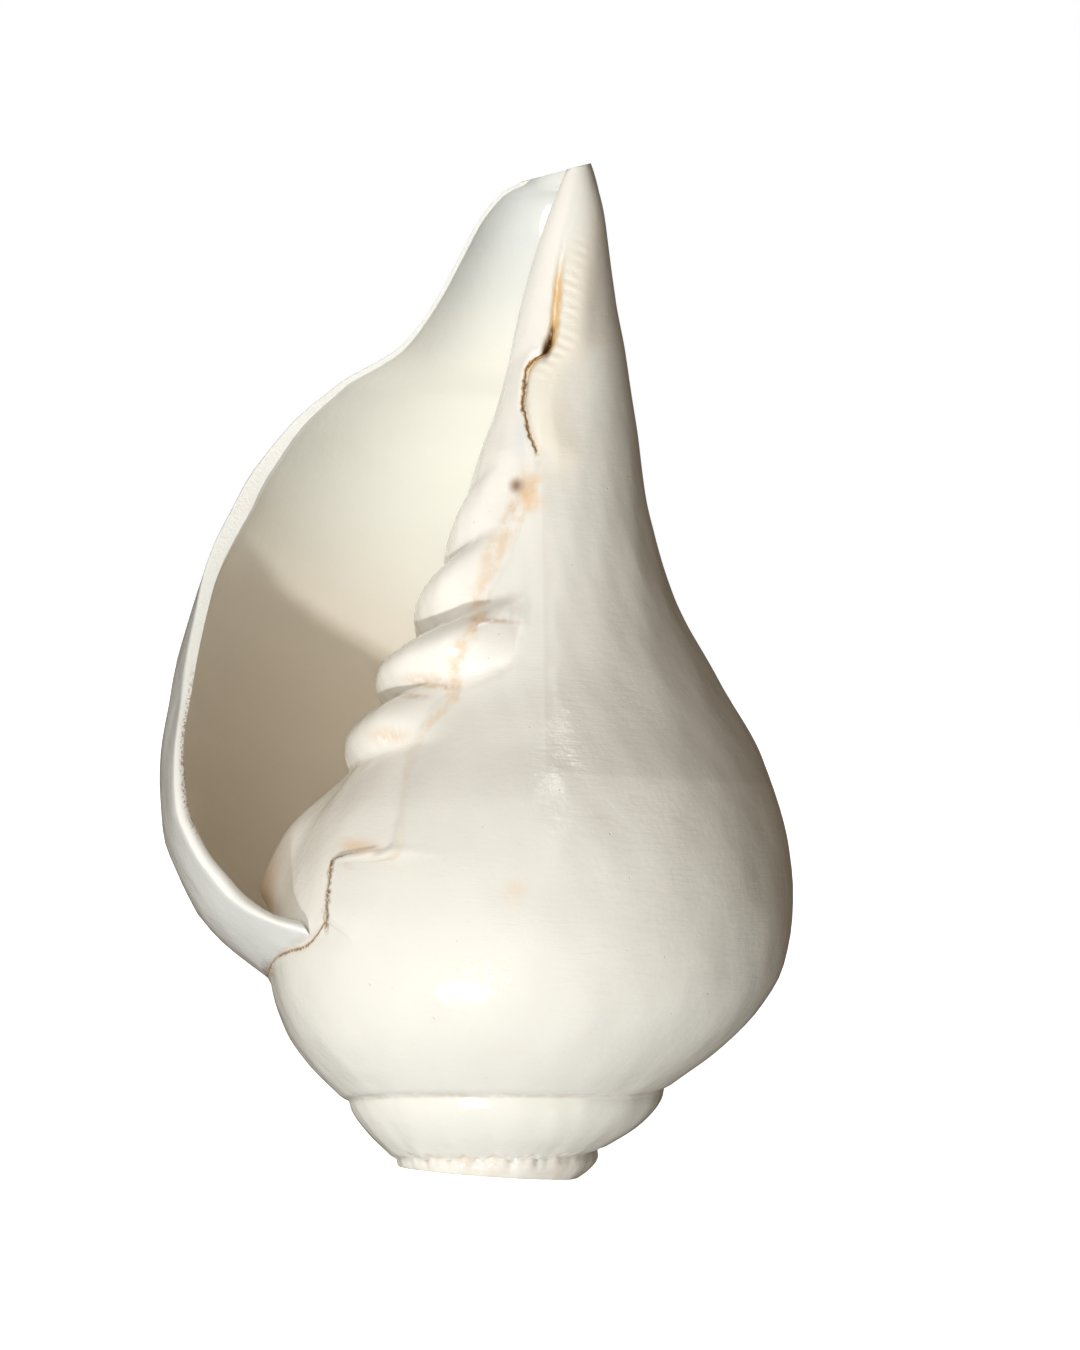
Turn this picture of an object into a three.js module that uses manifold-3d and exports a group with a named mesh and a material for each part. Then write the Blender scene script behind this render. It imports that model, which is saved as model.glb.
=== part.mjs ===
// A large conch shell, grown in one piece and polished. Its spire is ground off flat, and it
// stands on that cut with the siphonal canal up. +Z runs from the cut to the canal's tip, +X
// is the shell's right as the mouth faces the viewer, and +Y is its back. Millimetres.
//
// The shell coils counterclockwise as seen from the canal. A place on the coil is given by
// its azimuth in degrees, which keeps counting over every turn: 0 is the right side of the
// last whorl, 180 its left side, and LIP_AZIMUTH the corner where the lip meets the whorl.
import * as THREE from "three";
import { mergeVertices } from "three/addons/utils/BufferGeometryUtils.js";
import Module from "manifold-3d";

// ---- driving dimensions ----
const LENGTH = 127;          // height from the cut to the tip of the canal
const GROWTH = 1.25;         // a half turn scales the whorl by this
const APEX_DEPTH = 10.9;     // how far the coil's vanishing point lies below the cut
const SUTURE = 23;           // height of the seam above that point at azimuth 0
const SUTURE_CLIMB = 4.4;    // extra rise of the seam at azimuth 180, as the lip nears
const POLE = 129;            // height where the column would close if its tip weren't cut off
const TIP_LEAN = 2.75;       // the canal's tip leans this far to the right
const LEAN_FROM = 85;        // height where that lean starts
const LEAN_POWER = 1.2;      // how fast it grows from there
const TAPER_FROM = 100;      // height where the column starts to close to its tip
const SHUT_FROM = 127.6;     // height where everything starts to close to the pole
const TIP_CUT = [4.3, 0, 127];     // a point on the cut across the canal's tip
const TIP_SLOPE = [0.345, 0.04];     // rise of that cut to the right and to the back

const LIP_AZIMUTH = 220;     // corner of the lip
const FREE_AZIMUTH = 35;     // from here on the last rows turn towards the lip's curve

const WALL = 3;              // thickness of the last whorl's wall at azimuth 0
const LIP_WALL = 2.6;        // thickness of the lip at its thick end
const CANAL_WALL = 1.3;      // thickness of the lip along the canal
const LIP_ZONE = 80;         // the wall thins over this many degrees before the lip
const CORE_FROM = -960;      // before this azimuth the passage narrows,
const CORE_TO = -1300;       // down to nothing about here
const CORE_GAIN = 5;         // how much the wall thickens over that stretch
const PASSAGE_START = -1200; // azimuth of the inner end of the passage
const CORNER_GAIN = 2.5;     // how much thicker the early turns are beside their seam
const CORNER_REACH = 6;      // how far that reaches from the seam, at azimuth 0

// Outline of the whorl at azimuth 0: height above the vanishing point, radius.
const OUTLINE = curve(
  [14, 23, 28.5, 33.9, 39.4, 45.9, 54.2, 64.1, 73.7, 83.3, 93.2, 108, 122.9, 137.9, 155, 162, 170,
    180, 230],
  [11, 22, 28.6, 33.2, 35.7, 36.4, 35.2, 31.5, 25.1, 18.9, 15.2, 12, 8.9, 6.4, 4.9, 4.1, 3, 2.6,
    2]);

// How far the lip side swells or draws in against the coil's plain growth, by height.
const FLARE = curve(
  [20, 26.4, 29.2, 32, 34.9, 37.7, 40.6, 46.7, 53, 60, 70.7, 81.1, 86.3, 91.6, 97.1, 102.6, 107.9,
    115.1, 118.5, 121.8, 123.1, 124.1, 126, 129],
  [1, 1.055, 1.045, 1.015, 0.992, 0.982, 0.972, 0.97, 0.982, 1.003, 1.055, 1.165, 1.225, 1.258,
    1.17, 0.925, 0.83, 0.748, 0.704, 0.613, 0.54, 0.44, 0.35, 0.3]);

// How far the neck's right side is drawn in against the outline, by height.
const NECK = curve([82, 91.7, 97.9, 104.1, 110.3, 118, 127],
  [1, 0.972, 0.925, 0.875, 0.8, 0.765, 0.8]);

// Azimuth of the lip's edge, by height.
const LIP_EDGE = curve(
  [28.6, 29.6, 31, 33, 38, 45, 50, 56, 61, 67.5, 76, 90, 105, 116, 129],
  [220, 214, 208, 204.5, 202.5, 199.5, 197, 192, 188.5, 186, 184, 182, 181, 179, 175]);

// Cords wound round the column: where each sits on the outline, its width and height
// at azimuth -180, and the azimuth where it has faded out.
const PLAITS = [
  { at: 80, width: 9.6, height: 4, end: -108 },
  { at: 89.3, width: 9.6, height: 4.6, end: -84 },
  { at: 100, width: 10.5, height: 2.6, end: -103 },
  { at: 111, width: 10, height: 0.9, end: -110 },
];
const PLAIT_FADE = 38;       // a plait fades over this many degrees

// ---- fineness of the mesh ----
const TURNS = 5;             // whorls made, before the cut takes the first ones off
const ROWS_PLAIN = 14;       // rows from the lip's own azimuth, a turn back, to FREE_AZIMUTH
const ROWS_LIP = 15;         // rows from there to the lip
const COLUMNS_BAND = 4;      // columns across the band a whorl shows between two seams
// Heights of the columns from there to the tip, as steps between the mouth's two corners.
// They lie closer where the plaits are.
const BODY_STEPS = [4, 5, 5, 4, 3, 2, 2, 2, 2, 2, 2, 2, 2, 2, 2.5, 3, 5, 8, 12, 12, 9];
const PASSAGE_ROWS = 13;     // rows per turn of the passage before the last whorl
const SCAN_STEPS = 400;      // steps in the search for the passage's edges

// ---- small functions ----

/** Smooth curve through the given points that keeps their rises and falls (cubic Hermite). */
function curve(xs, ys) {
  const last = xs.length - 1;
  const steps = xs.slice(1).map((x, i) => x - xs[i]);
  const slopes = steps.map((step, i) => (ys[i + 1] - ys[i]) / step);
  const tangents = xs.map((_, i) => {
    if (i === 0) return slopes[0];
    if (i === last) return slopes[last - 1];
    const product = slopes[i - 1] * slopes[i];
    return product > 0 ? (2 * product) / (slopes[i - 1] + slopes[i]) : 0;
  });
  return (x) => {
    const t = Math.min(Math.max(x, xs[0]), xs[last]);
    let i = 0;
    while (i < last - 1 && t >= xs[i + 1]) i += 1;
    const s = (t - xs[i]) / steps[i];
    return (2 * s ** 3 - 3 * s ** 2 + 1) * ys[i]
      + (s ** 3 - 2 * s ** 2 + s) * steps[i] * tangents[i]
      + (3 * s ** 2 - 2 * s ** 3) * ys[i + 1]
      + (s ** 3 - s ** 2) * steps[i] * tangents[i + 1];
  };
}

/** 0 at x = from, 1 at x = to, with an even start and end. */
function ease(from, to, x) {
  const t = THREE.MathUtils.clamp((x - from) / (to - from), 0, 1);
  return t * t * (3 - 2 * t);
}

/** Scale of the whorl at an azimuth. */
const growth = (azimuth) => GROWTH ** (azimuth / 180);

/** Extra climb of the seam as the last whorl nears the lip. */
const climb = (azimuth) => SUTURE_CLIMB * Math.max(azimuth / 180, 0) ** 3.7;

/** Height of the seam where the whorl at this azimuth meets the whorl before it. */
const sutureHeight = (azimuth) => SUTURE * growth(azimuth) - APEX_DEPTH + climb(azimuth);

/** Closing of the column towards its tip. */
function taper(z) {
  const t = THREE.MathUtils.clamp((z - TAPER_FROM) / (POLE - TAPER_FROM), 0, 1);
  return (1 - t ** 3) ** 0.7;
}

/** Height of the plaits over the column's plain surface: a rounded, leaning ridge for each. */
function plaitHeight(azimuth, z) {
  const scale = growth(azimuth);
  const place = (z + APEX_DEPTH) / scale;
  let height = 0;
  for (const plait of PLAITS) {
    const across = THREE.MathUtils.clamp((place - plait.at) / plait.width + 0.55, 0, 1);
    const ridge = Math.max(Math.sin(Math.PI * across ** 1.2), 0) ** 0.65;
    height += plait.height * ridge * ease(plait.end, plait.end - PLAIT_FADE, azimuth)
      * scale * GROWTH;
  }
  return height * ease(LENGTH, LENGTH - 12, z);
}

/** Radius of the whorl's outer face: the outline scaled by growth, with the flare of the
    lip side, the closing at the tip and the plaits. */
function whorlRadius(azimuth, z) {
  const turn = azimuth / 180;
  const scale = growth(azimuth);
  const height = z - climb(azimuth) * (1 - ease(25, 60, z));
  const plain = scale * OUTLINE((height + APEX_DEPTH) / scale);
  const right = ease(-170, -60, azimuth) * ease(160, 40, azimuth);
  const shape = FLARE(z) ** ease(0.1, 1, turn) * NECK(z) ** right;
  const closing = taper(z) ** (1 - ease(0, 0.7, turn)) * ease(POLE, SHUT_FROM, z);
  return plain * shape * closing + plaitHeight(azimuth, z);
}

/** Thickness of the wall: it grows with the whorl and thins to the lip. In the early turns it
    fills the corner beside the seam, and at last the whole passage. */
function wallThickness(azimuth, z) {
  const body = WALL * Math.min(growth(azimuth), 1.1);
  const edge = LIP_WALL + (CANAL_WALL - LIP_WALL) * ease(45, 105, z);
  const near = ease(LIP_AZIMUTH - LIP_ZONE, LIP_AZIMUTH, azimuth + LIP_AZIMUTH - LIP_EDGE(z));
  const fromSeam = Math.max(z - sutureHeight(azimuth), 0) / growth(azimuth);
  const corner = CORNER_GAIN * Math.exp(-fromSeam / CORNER_REACH) * ease(-200, -500, azimuth);
  const core = CORE_GAIN * ease(CORE_FROM, CORE_TO, azimuth);
  return (body + (edge - body) * near) * (1 + corner + core);
}

/** Radius of the passage's outer side: the wall's thickness in from the whorl's outer face. */
function passageOuter(azimuth, z) {
  const step = 0.2;
  const rise = whorlRadius(azimuth, z + step) - whorlRadius(azimuth, z - step);
  const slope = THREE.MathUtils.clamp(rise / (2 * step), -1.6, 1.6);
  return whorlRadius(azimuth, z) - wallThickness(azimuth, z) * Math.hypot(1, slope);
}

/** Radius of the passage's inner side: the face of the whorl one turn back. */
const passageInner = (azimuth, z) => whorlRadius(azimuth - 360, z);

/** Azimuth of a row at a height: straight rows up to FREE_AZIMUTH, then turning to the lip. */
function rowAzimuth(row, z) {
  if (row <= FREE_AZIMUTH) return row;
  const share = (row - FREE_AZIMUTH) / (LIP_AZIMUTH - FREE_AZIMUTH);
  return FREE_AZIMUTH + share * (LIP_EDGE(z) - FREE_AZIMUTH);
}

/** Lowest and highest height of the passage in a row, where its two sides meet. */
function passageRange(row) {
  const bottom = sutureHeight(row);
  const heights = [];
  const gaps = [];
  for (let i = 0; i <= SCAN_STEPS; i += 1) {
    const z = bottom + ((POLE - bottom) * i) / SCAN_STEPS;
    const azimuth = rowAzimuth(row, z);
    heights.push(z);
    gaps.push(passageOuter(azimuth, z) - passageInner(azimuth, z));
  }
  const widest = gaps.indexOf(Math.max(...gaps));
  let low = widest;
  while (gaps[low - 1] > 0) low -= 1;
  let high = widest;
  while (gaps[high + 1] > 0) high += 1;
  const crossing = (from, to) => {
    const share = gaps[from] / (gaps[from] - gaps[to]);
    return heights[from] + share * (heights[to] - heights[from]);
  };
  return { low: crossing(low, low - 1), high: crossing(high, high + 1) };
}

/** Point on the shell: a radius out from the axis, which leans to the right near the tip. */
function place(azimuth, z, radius) {
  const angle = THREE.MathUtils.degToRad(azimuth);
  const lean = TIP_LEAN * (Math.max(z - LEAN_FROM, 0) / (LENGTH - LEAN_FROM)) ** LEAN_POWER;
  return [lean + radius * Math.cos(angle), radius * Math.sin(angle), z];
}

/** count + 1 evenly spaced numbers. */
const spread = (from, to, count) =>
  Array.from({ length: count + 1 }, (_, i) => from + ((to - from) * i) / count);

/** Shares of the whole reached after each of the steps, from 0 to 1. */
function runningShares(steps) {
  const sums = [0];
  for (const step of steps) sums.push(sums.at(-1) + step);
  return sums.map((sum) => sum / sums.at(-1));
}

// ---- the surface ----

/** Azimuths of the rows of the outer face, the same in every turn. */
function outerRows() {
  const lastTurn = [
    ...spread(LIP_AZIMUTH - 360, FREE_AZIMUTH, ROWS_PLAIN).slice(0, -1),
    ...spread(FREE_AZIMUTH, LIP_AZIMUTH, ROWS_LIP),
  ];
  const rows = [];
  for (let turn = TURNS - 1; turn > 0; turn -= 1) {
    rows.push(...lastTurn.slice(0, -1).map((row) => row - 360 * turn));
  }
  return [...rows, ...lastTurn];
}

/** The closed surface of the whole coil, before the spire is cut: the outer face, the walls of
    the passage inside it, and the lip that joins the two. */
function shellGeometry() {
  const points = [];
  const triangles = [];
  const addPoint = (point) => points.push(point) - 1;
  const addTriangle = (a, b, c) => {
    if (a !== b && b !== c && a !== c) triangles.push(a, b, c);
  };
  const addQuad = (a, b, c, d) => {
    addTriangle(a, b, c);
    addTriangle(a, c, d);
  };
  const addFan = (loop, centre) => {
    loop.forEach((id, i) => addTriangle(loop[(i + 1) % loop.length], id, centre));
  };

  const perTurn = ROWS_PLAIN + ROWS_LIP;
  const columns = COLUMNS_BAND + BODY_STEPS.length + 2;
  const rows = outerRows();
  const lastRow = rows.length - 1;
  const firstOfLastTurn = lastRow - perTurn;
  const lipCorner = sutureHeight(LIP_AZIMUTH);
  const mouth = passageRange(LIP_AZIMUTH);

  // Shares of the height from the band's top to the tip. The second and the last but one
  // are where the mouth's corners are.
  const share = (z) => (z - lipCorner) / (POLE - lipCorner);
  const innerShares = runningShares(BODY_STEPS);
  const mouthShares = innerShares.map((s) => share(mouth.low + s * (mouth.high - mouth.low)));
  const shares = [0, ...mouthShares, 1];

  /** Heights of the columns in a row of the outer face. */
  const outerHeights = (index) => {
    const bottom = sutureHeight(rows[index]);
    const top = index < firstOfLastTurn
      ? sutureHeight(rows[index] + 360)
      : lipCorner + (26 * (index - firstOfLastTurn)) / perTurn;
    return [
      ...spread(bottom, top, COLUMNS_BAND).slice(0, -1),
      ...shares.map((s) => top + s * (POLE - top)),
    ];
  };

  /** Azimuth on the outer face. The first rows of the last turn start on the lip's curve. */
  const outerAzimuth = (index, z) => {
    if (index < firstOfLastTurn || index - firstOfLastTurn >= ROWS_PLAIN) {
      return rowAzimuth(rows[index], z);
    }
    const away = (index - firstOfLastTurn) / ROWS_PLAIN;
    return (1 - away) * (LIP_EDGE(z) - 360) + away * FREE_AZIMUTH;
  };

  // The outer face. A whorl's first column is the last column of the band one turn back.
  const tip = addPoint(place(0, POLE, 0));
  const outer = rows.map(() => []);
  for (let i = lastRow; i >= 0; i -= 1) {
    const heights = outerHeights(i);
    const count = i >= firstOfLastTurn ? columns : COLUMNS_BAND;
    for (let j = 0; j <= count; j += 1) {
      const azimuth = outerAzimuth(i, heights[j]);
      const turnBack = j === 0 ? 360 : 0;
      if (j === columns) outer[i].push(tip);
      else if (j === COLUMNS_BAND && i + perTurn <= lastRow) outer[i].push(outer[i + perTurn][0]);
      else {
        const radius = whorlRadius(azimuth - turnBack, heights[j]);
        outer[i].push(addPoint(place(azimuth, heights[j], radius)));
      }
    }
  }
  for (let i = 0; i < lastRow; i += 1) {
    const count = i >= firstOfLastTurn ? columns : COLUMNS_BAND;
    for (let j = 0; j < count; j += 1) {
      addQuad(outer[i][j], outer[i + 1][j], outer[i + 1][j + 1], outer[i][j + 1]);
    }
  }

  // The start of the coil, closed below the cut.
  const startLoop = [
    ...outer.slice(0, perTurn + 1).map((row) => row[0]),
    ...outer[0].slice(1, COLUMNS_BAND).reverse(),
  ];
  addFan(startLoop, addPoint([0, 0, sutureHeight(rows[0]) - 3]));

  // The passage. Its inner side ends on the outer face, along the curve one turn back
  // from the lip, and its outer side ends at the lip.
  const passageRows = [
    ...spread(PASSAGE_START, LIP_AZIMUTH - 360, Math.round(
      ((LIP_AZIMUTH - 360 - PASSAGE_START) / 360) * PASSAGE_ROWS)).slice(0, -1),
    ...rows.slice(firstOfLastTurn),
  ];
  const lipHeights = outerHeights(lastRow);
  const outerShares = lipHeights.map(share);
  const sides = passageRows.map((row, i) => {
    const range = i === passageRows.length - 1 ? mouth : passageRange(row);
    const height = (s) => range.low + s * (range.high - range.low);
    const inner = i === passageRows.length - 1
      ? outer[firstOfLastTurn].slice(COLUMNS_BAND + 1, columns)
      : innerShares.map((s) => {
        const azimuth = rowAzimuth(row, height(s));
        return addPoint(place(azimuth, height(s), passageInner(azimuth, height(s))));
      });
    const outside = outerShares.slice(1, -1).map((s) => {
      const azimuth = rowAzimuth(row, height(s));
      return addPoint(place(azimuth, height(s), passageOuter(azimuth, height(s))));
    });
    return { inner, outside: [inner[0], ...outside, inner.at(-1)] };
  });
  for (let i = 0; i < sides.length - 1; i += 1) {
    const here = sides[i];
    const next = sides[i + 1];
    for (let j = 0; j < columns; j += 1) {
      addQuad(here.outside[j], here.outside[j + 1], next.outside[j + 1], next.outside[j]);
    }
    for (let j = 0; j < here.inner.length - 1; j += 1) {
      addQuad(here.inner[j], next.inner[j], next.inner[j + 1], here.inner[j + 1]);
    }
  }
  const innerEnd = [...sides[0].outside, ...sides[0].inner.slice(1, -1).reverse()];
  const middle = innerEnd.reduce((sum, id) => sum.map((v, k) => v + points[id][k]), [0, 0, 0]);
  addFan(innerEnd, addPoint(middle.map((v) => v / innerEnd.length)));

  // The lip's edge.
  const rim = sides.at(-1).outside;
  for (let j = 0; j < columns; j += 1) {
    addQuad(outer[lastRow][j], rim[j], rim[j + 1], outer[lastRow][j + 1]);
  }

  const geometry = new THREE.BufferGeometry();
  geometry.setAttribute("position", new THREE.Float32BufferAttribute(points.flat(), 3));
  geometry.setIndex(triangles);
  return geometry;
}

// ---- cutting ----

/** Closed solid from a closed geometry. */
function solidOf(wasm, source) {
  source.deleteAttribute("normal");
  source.deleteAttribute("uv");
  const merged = mergeVertices(source, 1e-5);
  return new wasm.Manifold(new wasm.Mesh({
    numProp: 3,
    vertProperties: new Float32Array(merged.attributes.position.array),
    triVerts: new Uint32Array(merged.index.array),
  }));
}

/** Geometry of a solid, with flat faces. */
function geometryOf(solid) {
  const { vertProperties, triVerts } = solid.getMesh();
  const geometry = new THREE.BufferGeometry();
  geometry.setAttribute("position", new THREE.Float32BufferAttribute(vertProperties, 3));
  geometry.setIndex(Array.from(triVerts));
  geometry.computeVertexNormals();
  return geometry;
}

const wasm = await Module();
wasm.setup();

// Everything below z = 0 is ground off, which opens the passage at the spire too, and the
// canal's tip is cut off along a plane that rises to the right.
const CUTTER = { width: 120, depth: 40 };
const ground = new THREE.BoxGeometry(CUTTER.width, CUTTER.width, CUTTER.depth);
ground.translate(0, 0, -CUTTER.depth / 2);
const end = new THREE.BoxGeometry(CUTTER.width, CUTTER.width, CUTTER.depth);
end.translate(0, 0, CUTTER.depth / 2);
end.applyQuaternion(new THREE.Quaternion().setFromUnitVectors(
  new THREE.Vector3(0, 0, 1),
  new THREE.Vector3(-TIP_SLOPE[0], -TIP_SLOPE[1], 1).normalize(),
));
end.translate(...TIP_CUT);
const whole = solidOf(wasm, shellGeometry());
const shell = new THREE.Mesh(
  geometryOf(whole.subtract(solidOf(wasm, ground)).subtract(solidOf(wasm, end))),
  new THREE.MeshStandardMaterial({ color: 0xefe9dc, roughness: 0.25, metalness: 0 }),
);
shell.name = "conch_shell";

const group = new THREE.Group();
group.add(shell);

export default group;
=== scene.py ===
"""A large conch shell, grown in one piece, polished, and ground flat across its spire.

The shell stands on that cut with its canal up. Lengths in the shape functions are
millimetres, azimuths are degrees that keep counting over every turn of the coil.
"""

import math

import bpy
import numpy as np
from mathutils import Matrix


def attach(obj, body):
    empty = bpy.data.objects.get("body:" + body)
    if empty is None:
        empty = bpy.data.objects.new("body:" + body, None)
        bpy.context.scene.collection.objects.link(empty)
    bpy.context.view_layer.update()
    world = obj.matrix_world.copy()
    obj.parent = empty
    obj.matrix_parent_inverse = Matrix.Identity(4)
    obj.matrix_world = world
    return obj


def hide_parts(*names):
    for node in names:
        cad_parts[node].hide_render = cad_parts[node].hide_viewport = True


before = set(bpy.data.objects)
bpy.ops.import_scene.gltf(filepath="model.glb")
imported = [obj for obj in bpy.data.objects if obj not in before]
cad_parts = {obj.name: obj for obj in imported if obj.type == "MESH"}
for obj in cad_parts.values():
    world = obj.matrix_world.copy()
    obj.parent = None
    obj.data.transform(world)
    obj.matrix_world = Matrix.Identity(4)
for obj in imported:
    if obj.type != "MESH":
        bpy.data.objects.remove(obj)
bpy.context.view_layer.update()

# ---- the coil ----
LENGTH = 127.0        # height from the cut to the tip of the canal
POLE = 129.0          # height where the column would close if its tip weren't cut off
TIP_CUT = (4.3, 0.0, 127.0)  # a point on the cut across the canal's tip
TIP_SLOPE = (0.345, 0.04)    # rise of that cut to the right and to the back
GROWTH = 1.25         # a half turn scales the whorl by this
APEX_DEPTH = 10.9     # how far the coil's vanishing point lies below the cut
SUTURE = 23.0         # height of the seam above that point at azimuth 0
SUTURE_CLIMB = 4.4    # extra rise of the seam at azimuth 180
SUTURE_FRONT = 0.9    # extra height of the seam across the front
TIP_LEAN = 2.75       # the canal's tip leans this far to the right
LEAN_FROM = 85.0      # height where the lean starts
LEAN_POWER = 1.2
TAPER_FROM = 100.0    # height where the column starts to round off to its tip
SHUT_FROM = 127.6     # height where everything starts to close to the pole
LIP_AZIMUTH = 220.0   # corner of the lip
LIP_CURL = 0.045      # share by which the lip's free edge turns inwards
CORNER_SWELL = 2.8    # swell of the column's face behind the lip's corner
WAIST = 0.8           # depth of the shallow waist below the lip's corner
FREE_AZIMUTH = 35.0   # from here on the last rows turn towards the lip's curve

# ---- the wall ----
WALL = 3.0            # thickness of the last whorl's wall away from the lip
LIP_ZONE = 80.0       # the wall thins over this many degrees before the lip
CORE_FROM, CORE_TO, CORE_GAIN = -960.0, -1300.0, 5.0  # where the passage fills up
PASSAGE_START = -1200.0
CORNER_GAIN, CORNER_REACH = 2.5, 6.0  # extra wall beside the seam of the early turns

# ---- fineness ----
TURNS = 5             # turns of the coil, counted back from the lip
ROWS_FRONT = 104      # rows from the lip's azimuth, a turn back, to SIDE_AZIMUTH
ROWS_SIDE = 42        # rows from there to FREE_AZIMUTH
ROWS_LIP = 96         # rows from there to the lip
SIDE_AZIMUTH = -52.0
COLUMNS_BAND = 22     # columns from a whorl's lowest edge to the next seam
COLUMNS_BODY = 160    # columns from there to the pole
PASSAGE_ROWS = 20     # rows per turn of the passage before the last whorl
LIP_ARC = (0.0, 0.05, 0.15, 0.32, 0.5, 0.68, 0.85, 0.95, 1.0)
FACTS = ("azimuth", "glaze", "seam", "inside")  # numbers stored on the points
FAR = 60.0            # stands for far away in those numbers
MM_PER_METRE = 1000.0


def curve(xs, ys):
    """Smooth curve through the points that keeps their rises and falls: on each span a
    cubic with the harmonic mean of the neighbouring slopes as its end slopes."""
    x, y = np.array(xs, float), np.array(ys, float)
    step = np.diff(x)
    slope = np.diff(y) / step
    product = slope[:-1] * slope[1:]
    total = np.where(product > 0, slope[:-1] + slope[1:], 1.0)
    tangent = np.concatenate(
        [slope[:1], np.where(product > 0, 2 * product / total, 0.0), slope[-1:]])

    def value(t):
        t = np.clip(t, x[0], x[-1])
        i = np.clip(np.searchsorted(x, t, side="right") - 1, 0, len(x) - 2)
        s = (t - x[i]) / step[i]
        return ((2 * s**3 - 3 * s**2 + 1) * y[i] + (s**3 - 2 * s**2 + s) * step[i] * tangent[i]
                + (3 * s**2 - 2 * s**3) * y[i + 1] + (s**3 - s**2) * step[i] * tangent[i + 1])

    return value


def ease(start, end, x):
    """0 at start, 1 at end, 3t^2 - 2t^3 between."""
    t = np.clip((x - start) / (end - start), 0, 1)
    return t * t * (3 - 2 * t)


def bump(x, width):
    """Bell of height 1: e to the minus (x / width)^2."""
    return np.exp(-(x / width) ** 2)


# Outline of the whorl at azimuth 0: height above the vanishing point, radius.
outline = curve(
    [14, 23, 28.5, 33.9, 39.4, 45.9, 54.2, 64.1, 73.7, 83.3, 93.2, 108, 122.9, 137.9, 155, 162, 170,
     180, 230],
    [11, 22, 28.6, 33.2, 35.7, 36.4, 35.2, 31.5, 25.1, 18.9, 15.2, 12, 8.9, 6.4, 4.9, 4.1, 3.0, 2.6,
     2])
# How far the lip side swells or draws in against the coil's plain growth, by height.
flare = curve(
    [20, 26.4, 29.2, 32, 34.9, 37.7, 40.6, 46.7, 53, 60, 70.7, 81.1, 86.3, 91.6, 97.1, 102.6,
     107.9, 115.1, 118.5, 121.8, 123.1, 124.1, 126, 129],
    [1, 1.055, 1.045, 1.015, 0.992, 0.982, 0.972, 0.97, 0.982, 1.003, 1.055, 1.165, 1.225, 1.258,
     1.17, 0.925, 0.83, 0.748, 0.704, 0.613, 0.54, 0.44, 0.35, 0.3])
# How far the neck's right side is drawn in against the outline, by height.
neck = curve([82, 91.7, 97.9, 104.1, 110.3, 118, 127], [1, 0.972, 0.925, 0.875, 0.80, 0.765, 0.8])
# Azimuth of the lip's edge, by height.
lip_edge = curve(
    [28.6, 29.6, 31, 33, 38, 45, 50, 56, 61, 67.5, 76, 90, 105, 116, 129],
    [220, 214, 208, 204.5, 202.5, 199.8, 197.8, 194.5, 192.5, 189.8, 186.4, 182.5, 181, 179, 175])
# Thickness of the wall at the lip's edge, by height.
lip_wall = curve([28, 40, 54, 60, 71, 81, 90, 98, 106],
                 [2.4, 1.8, 1.1, 1.25, 1.7, 2.3, 1.5, 0.8, 0.5])
# Plaits: place on the outline, width, height at azimuth -180, azimuth where it has faded.
PLAITS = ((80.0, 9.6, 4.0, -108.0), (89.3, 9.6, 4.6, -84.0),
          (100.0, 10.5, 2.6, -103.0), (111.0, 10.0, 0.9, -110.0))
PLAIT_FADE = 38.0
# Right-hand edge of the inner lip's glaze on the front, by height: x of the edge.
glaze_edge = curve(
    [29, 33, 38, 39.2, 40.2, 45.7, 50.8, 58.6, 60.5, 63.7, 68.7, 71.5, 76.7, 83.2, 89.8, 92,
     96.9, 100.7, 103.4, 106, 111.6, 117.4, 124],
    [-21.0, -21.2, -21.0, -18.5, -14.0, -13.2, -12.9, -9.6, -6.0, -0.8, 0.0, -4.3, -2.1, -0.65, 0.5,
     -0.64, -1.87, -1.63, 0.83, 1.28, 1.39, 2.0, 3.0])
# Relief about that edge, by height: the ledge of the outer layer, the chink's depth, the
# creamy ridge at its right and the hollow at its left.
ledge_rise = curve([29.5, 31.5, 37, 39.3, 41, 50, 58, 62, 70, 76, 86, 92, 100],
                   [0.0, 1.0, 1.0, 0.8, 0.25, 0.12, 0.15, 0.3, 0.25, 0.12, 0.05, 0.05, 0.0])
chink_depth = curve([88, 90, 93, 97, 100.5, 102, 103.6, 105.2, 108, 112, 115, 119],
                    [0.0, 0.5, 0.7, 0.7, 0.8, 2.2, 2.9, 1.6, 0.9, 0.7, 0.35, 0.0])
ridge_rise = curve([88, 92, 96, 101, 106, 112, 119, 125],
                   [0.0, 0.55, 0.6, 0.35, 0.8, 0.75, 0.4, 0.0])
hollow_depth = curve([70, 80, 86, 92, 100, 108], [0.0, 0.5, 0.9, 0.8, 0.5, 0.0])


def growth(azimuth):
    """Scale of the whorl: GROWTH to the power of the half turns."""
    return GROWTH ** (azimuth / 180)


def climb(azimuth):
    """Extra rise of the seam near the lip: the half turns to the power 3.7."""
    return SUTURE_CLIMB * np.clip(azimuth / 180, 0, None) ** 3.7


def suture_height(azimuth):
    """Height of the seam: it grows with the whorl from the vanishing point, and lies a
    little higher across the front of the last whorl. By the spire's cut it is chipped."""
    front = SUTURE_FRONT * bump(azimuth + 95, 60)
    chipped = np.sin(azimuth * 0.35) + 0.6 * np.sin(azimuth * 0.83 + 1)
    front = front + 0.22 * chipped * ease(-370, -420, azimuth)
    return SUTURE * growth(azimuth) - APEX_DEPTH + climb(azimuth) + front


def taper(z):
    """Closing of the column to its tip: (1 - t^3)^0.7 of the way up."""
    t = np.clip((z - TAPER_FROM) / (POLE - TAPER_FROM), 0, 1)
    return (1 - t**3) ** 0.7


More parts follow.
